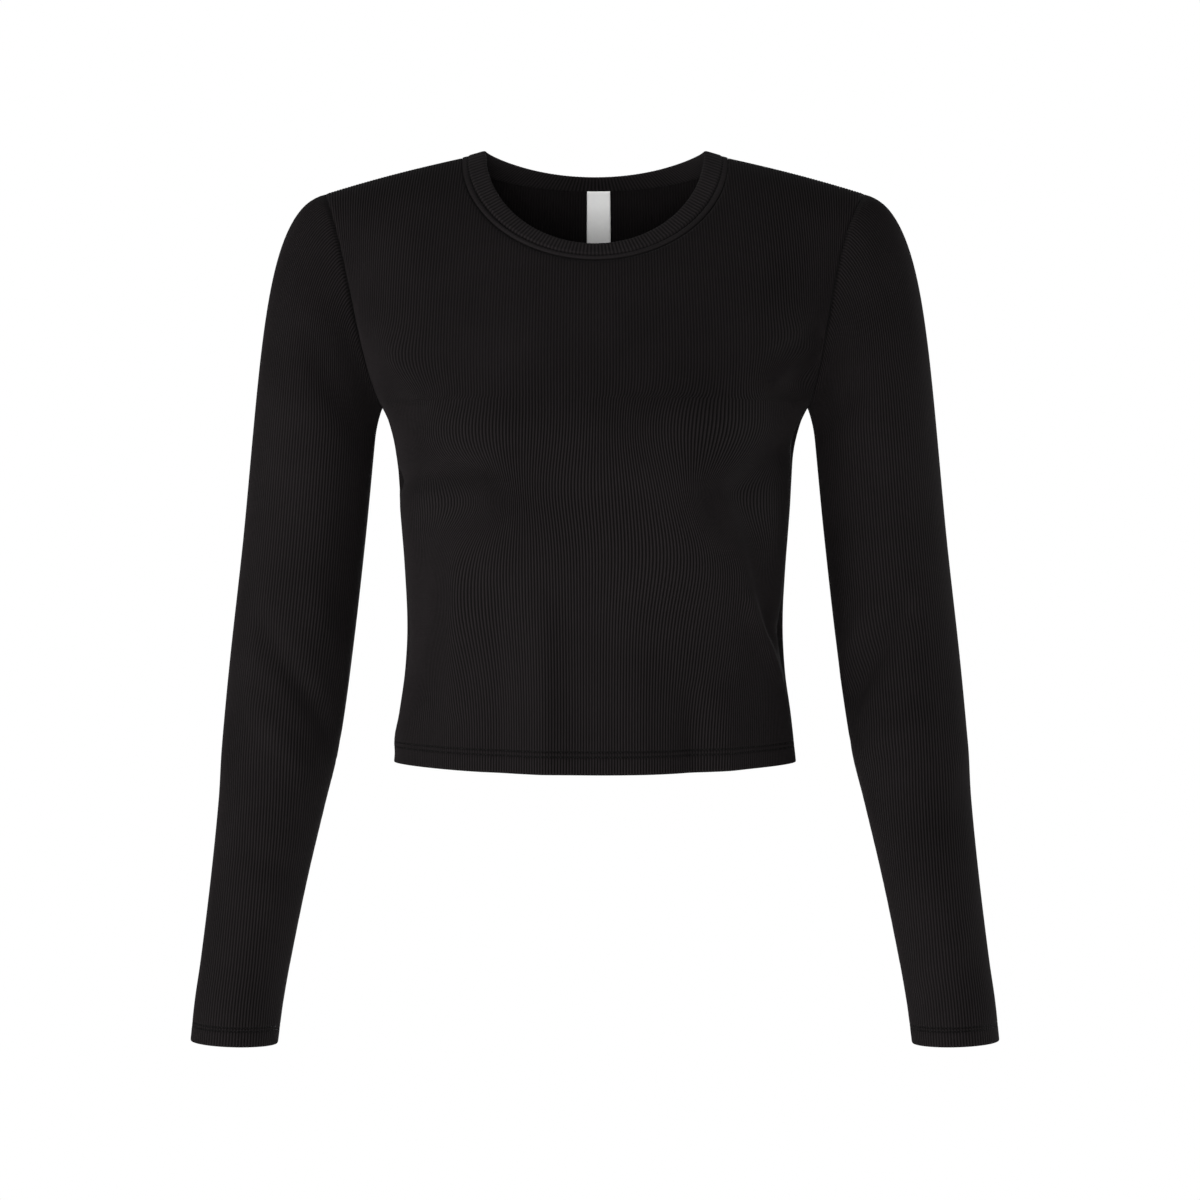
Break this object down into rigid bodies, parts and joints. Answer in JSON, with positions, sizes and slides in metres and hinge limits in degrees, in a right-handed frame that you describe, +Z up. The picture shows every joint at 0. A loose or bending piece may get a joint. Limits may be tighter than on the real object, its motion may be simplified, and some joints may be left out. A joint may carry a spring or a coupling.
{
  "type": "crop top",
  "caption": "Long-sleeved crop top in fine rib knit, with a low round neck, a narrow doubled neckband, and plain turned hem and cuffs, filled out as worn.",
  "frame": {"origin": "midway between the two points where the shoulder seams meet the neckband, where the top hangs on its wearer's shoulders", "axes": "+Z up along the wearer's neck; -Y out of the front; +X towards the wearer's left"},
  "size_m": [0.5742, 0.2181, 0.6385],
  "materials": {
    "rib_knit": "matt fine rib knit, near black, with a little stretch",
    "label_satin": "light grey woven satin tape, blank"
  },
  "bodies": {
    "root": {"front": "rib_knit", "back": "rib_knit", "sleeve_left": "rib_knit", "sleeve_right": "rib_knit", "neckband": "rib_knit", "neck_label": "label_satin"}
  },
  "joints": []
}
